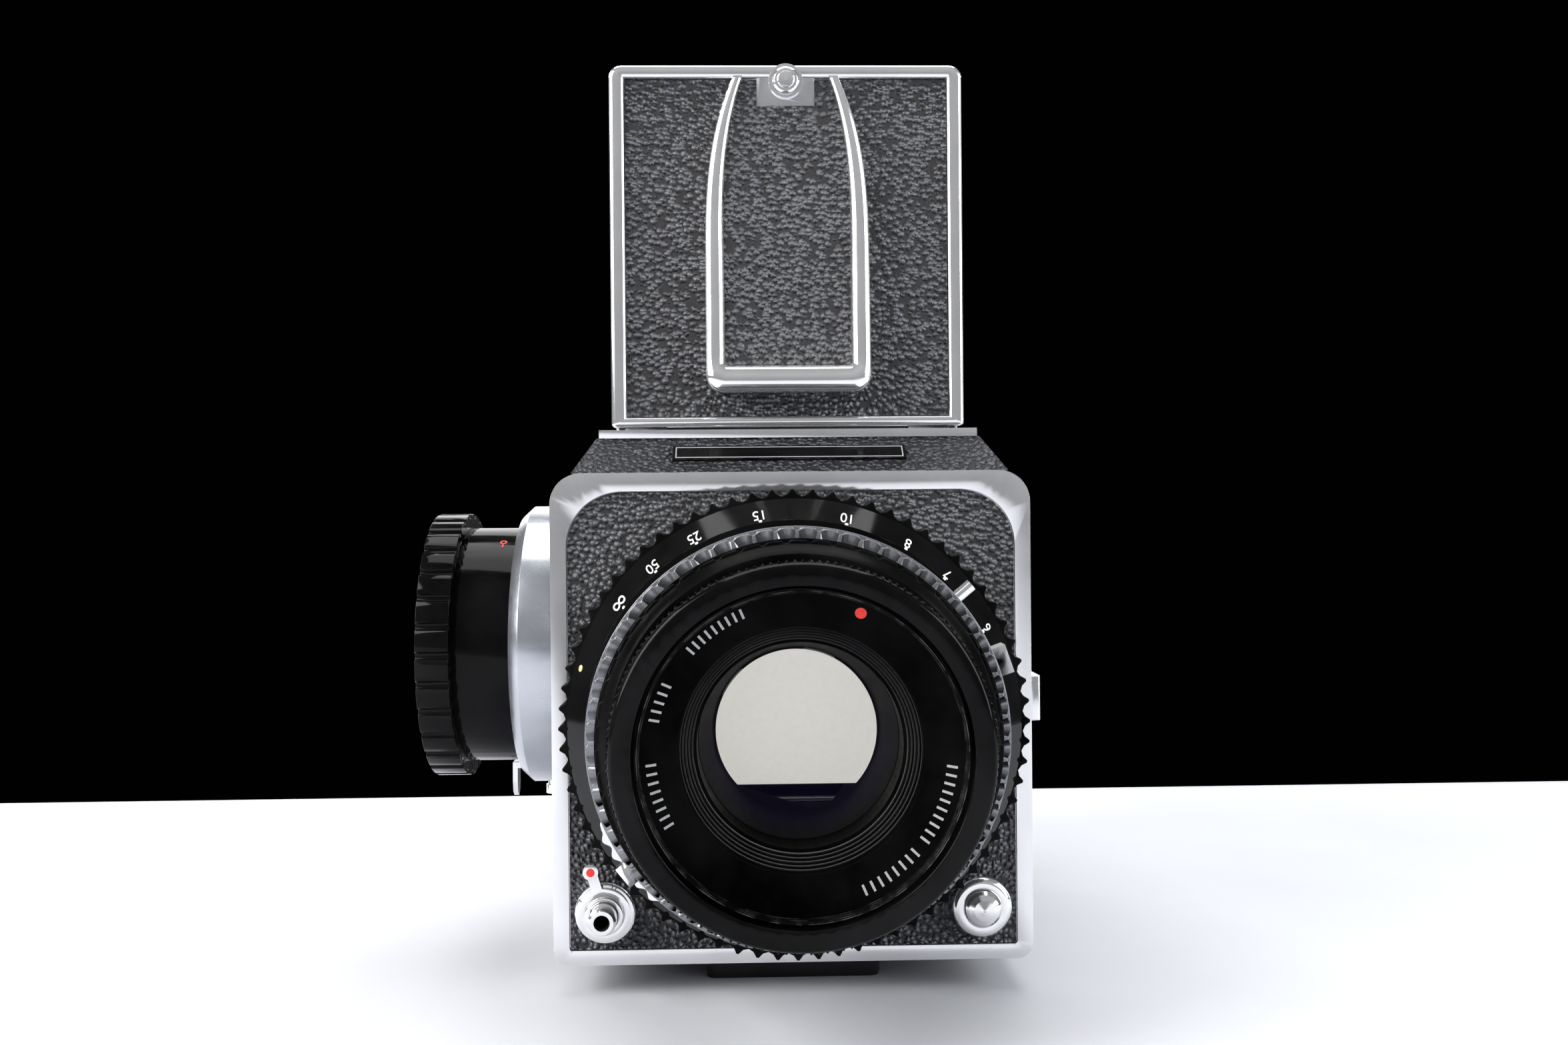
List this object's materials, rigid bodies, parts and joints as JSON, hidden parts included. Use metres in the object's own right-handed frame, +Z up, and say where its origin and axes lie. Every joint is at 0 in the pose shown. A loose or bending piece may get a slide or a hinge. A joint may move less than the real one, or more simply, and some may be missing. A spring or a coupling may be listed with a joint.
{
  "type": "medium format camera",
  "caption": "Box-bodied medium-format reflex camera with raised folding hood, toothed-ring lens, side winding knob and rear film magazine.",
  "frame": {"origin": "tripod socket axis on the bottom face of the foot", "axes": "+Z up, the lens faces -Y, the winding knob is on the -X side"},
  "size_m": [0.1348, 0.1723, 0.1787],
  "materials": {
    "chrome_case": "satin plated",
    "chrome_bright": "polished",
    "leather": "pebbled",
    "black_paint": "semi-gloss",
    "black_gloss": "gloss",
    "matte_black": "matte",
    "steel": "machined",
    "mirror_glass": "polished",
    "aluminium": "satin",
    "clear_glass": "polished",
    "coated_glass": "coated",
    "brass": "machined",
    "lens_black": "satin anodised",
    "lens_satin": "satin grey"
  },
  "bodies": {
    "camera": {"body_shell": "chrome_case", "front_leather": "leather", "side_leathers": "leather", "base_plate": "black_paint", "roof_leather": "leather", "name_plate": "black_gloss", "mirror_box": "matte_black", "mirror_pin": "steel", "screen_frame": "aluminium", "focusing_screen": "clear_glass", "lens_mount_ring": "chrome_bright", "release_collar": "chrome_bright", "lens_release_collar": "chrome_bright", "winder_boss": "chrome_case", "accessory_rail": "chrome_case", "strap_lugs": "chrome_bright", "tripod_foot": "black_paint", "foot_screws": "steel", "finder_base": "chrome_case", "lens_barrel": "lens_black"},
    "reflex_mirror": {"mirror": "mirror_glass"},
    "upper_flap": {"top_flap": "matte_black"},
    "lower_flap": {"bottom_flap": "matte_black"},
    "release": {"release_button": "chrome_bright"},
    "time_selector": {"time_lever": "chrome_bright"},
    "lens_release": {"lens_release_button": "chrome_bright"},
    "knob": {"knob_hub": "black_gloss", "knob_rim": "black_gloss", "drive_shaft": "steel", "drive_gear": "brass"},
    "idler": {"idler_gear": "brass"},
    "crank": {"crank_arm": "steel"},
    "handle": {"crank_handle": "black_gloss"},
    "catch": {"crank_catch": "chrome_bright"},
    "lid": {"hood_lid": "chrome_case", "lid_leather": "leather"},
    "latch": {"lid_latch": "chrome_bright"},
    "wing_left": {"left_wing": "black_paint"},
    "wing_right": {"right_wing": "black_paint"},
    "panel_rear": {"rear_panel": "black_paint"},
    "magnifier": {"magnifier_arm": "black_paint", "magnifier_lens": "clear_glass"},
    "focuser": {"focus_ring": "lens_black", "distance_band": "black_gloss"},
    "lens_front": {"front_barrel": "lens_black", "front_tube": "black_gloss", "name_ring": "lens_black", "front_element": "coated_glass", "rear_element": "coated_glass", "iris_blades": "matte_black", "sync_terminal": "chrome_bright"},
    "aperture": {"aperture_ring": "lens_satin"},
    "shutter": {"shutter_ring": "lens_black"},
    "sync_lever": {"mode_lever": "aluminium"},
    "depth_lever": {"preview_lever": "chrome_bright"},
    "magazine": {"magazine_shell": "chrome_case", "magazine_leather": "leather"},
    "insert": {"film_insert": "black_paint"},
    "key": {"insert_key": "chrome_bright"},
    "slide": {"dark_slide": "steel"}
  },
  "joints": [
    {"name": "mirror_flip", "type": "hinge", "parent": "camera", "child": "reflex_mirror", "pos_m": [0, 0.0345, 0.0855], "axis": [-1, 0, 0], "range_deg": [0, 45]},
    {"name": "upper_flap_swing", "type": "hinge", "parent": "camera", "child": "upper_flap", "pos_m": [0, 0.0395, 0.081], "axis": [-1, 0, 0], "range_deg": [0, 90]},
    {"name": "lower_flap_swing", "type": "hinge", "parent": "camera", "child": "lower_flap", "pos_m": [0, 0.0395, 0.025], "axis": [1, 0, 0], "range_deg": [0, 90]},
    {"name": "release_press", "type": "slide", "parent": "camera", "child": "release", "axis": [0, 1, 0], "range_m": [0, 0.0025], "stiffness_N_per_m": 400, "springref_m": -0.001},
    {"name": "time_lever_turn", "type": "hinge", "parent": "camera", "child": "time_selector", "pos_m": [-0.0357, -0.03, 0.016], "axis": [0, -1, 0], "range_deg": [0, 45]},
    {"name": "lens_release_press", "type": "slide", "parent": "camera", "child": "lens_release", "axis": [0, 1, 0], "range_m": [0, 0.001], "stiffness_N_per_m": 400, "springref_m": -0.001},
    {"name": "knob_wind", "type": "hinge", "parent": "camera", "child": "knob", "pos_m": [-0.0455, 0.006, 0.064], "axis": [-1, 0, 0], "continuous": true},
    {"name": "idler_turn", "type": "hinge", "parent": "camera", "child": "idler", "pos_m": [-0.039, 0.016, 0.0411], "axis": [-1, 0, 0], "continuous": true},
    {"name": "crank_fold", "type": "hinge", "parent": "knob", "child": "crank", "pos_m": [-0.0733, 0.006, 0.047], "axis": [0, -1, 0], "range_deg": [0, 180]},
    {"name": "handle_spin", "type": "hinge", "parent": "crank", "child": "handle", "pos_m": [-0.07, 0.006, 0.077], "axis": [-1, 0, 0], "continuous": true},
    {"name": "catch_press", "type": "slide", "parent": "camera", "child": "catch", "axis": [0, 0, 1], "range_m": [0, 0.001]},
    {"name": "lid_fold", "type": "hinge", "parent": "camera", "child": "lid", "pos_m": [0, -0.0158, 0.112], "axis": [1, 0, 0], "range_deg": [-90, 0]},
    {"name": "left_wing_fold", "type": "hinge", "parent": "camera", "child": "wing_left", "pos_m": [-0.033, 0, 0.1085], "axis": [0, -1, 0], "range_deg": [-90, 0]},
    {"name": "right_wing_fold", "type": "hinge", "parent": "camera", "child": "wing_right", "pos_m": [0.033, 0, 0.1085], "axis": [0, 1, 0], "range_deg": [-90, 0]},
    {"name": "rear_panel_fold", "type": "hinge", "parent": "camera", "child": "panel_rear", "pos_m": [0, 0.043, 0.1069], "axis": [-1, 0, 0], "range_deg": [-90, 0]},
    {"name": "latch_press", "type": "slide", "parent": "lid", "child": "latch", "axis": [0, 1, 0], "range_m": [0, 0.001]},
    {"name": "magnifier_swing", "type": "hinge", "parent": "lid", "child": "magnifier", "pos_m": [0, -0.0156, 0.1682], "axis": [1, 0, 0], "range_deg": [0, 90]},
    {"name": "focus_turn", "type": "hinge", "parent": "camera", "child": "focuser", "pos_m": [0, -0.03, 0.053], "axis": [0, -1, 0], "range_deg": [0, 240]},
    {"name": "front_group_travel", "type": "slide", "parent": "camera", "child": "lens_front", "axis": [0, -1, 0], "range_m": [0, 0.0061]},
    {"name": "aperture_turn", "type": "hinge", "parent": "lens_front", "child": "aperture", "pos_m": [0, -0.03, 0.053], "axis": [0, -1, 0], "range_deg": [0, 75]},
    {"name": "shutter_turn", "type": "hinge", "parent": "lens_front", "child": "shutter", "pos_m": [0, -0.03, 0.053], "axis": [0, -1, 0], "range_deg": [0, 120]},
    {"name": "sync_lever_turn", "type": "hinge", "parent": "lens_front", "child": "sync_lever", "pos_m": [0, -0.03, 0.053], "axis": [0, -1, 0], "range_deg": [-15, 0]},
    {"name": "depth_lever_turn", "type": "hinge", "parent": "lens_front", "child": "depth_lever", "pos_m": [0, -0.03, 0.053], "axis": [0, -1, 0], "range_deg": [0, 20]},
    {"name": "magazine_detach", "type": "slide", "parent": "camera", "child": "magazine", "axis": [0, 1, 0], "range_m": [0, 0.03]},
    {"name": "insert_draw", "type": "slide", "parent": "magazine", "child": "insert", "axis": [1, 0, 0], "range_m": [0, 0.04]},
    {"name": "key_turn", "type": "hinge", "parent": "insert", "child": "key", "pos_m": [0.0455, 0.0683, 0.053], "axis": [1, 0, 0], "range_deg": [0, 90]},
    {"name": "dark_slide_draw", "type": "slide", "parent": "magazine", "child": "slide", "axis": [1, 0, 0], "range_m": [0, 0.07]}
  ],
  "couplings": [
    {"joint": "upper_flap_swing", "follows": "mirror_flip", "ratio": 2},
    {"joint": "lower_flap_swing", "follows": "mirror_flip", "ratio": 2},
    {"joint": "idler_turn", "follows": "knob_wind", "ratio": -0.66667},
    {"joint": "left_wing_fold", "follows": "lid_fold", "ratio": 1},
    {"joint": "right_wing_fold", "follows": "lid_fold", "ratio": 1},
    {"joint": "rear_panel_fold", "follows": "lid_fold", "ratio": 1},
    {"joint": "front_group_travel", "follows": "focus_turn", "m_per_rad": 0.0014324}
  ]
}
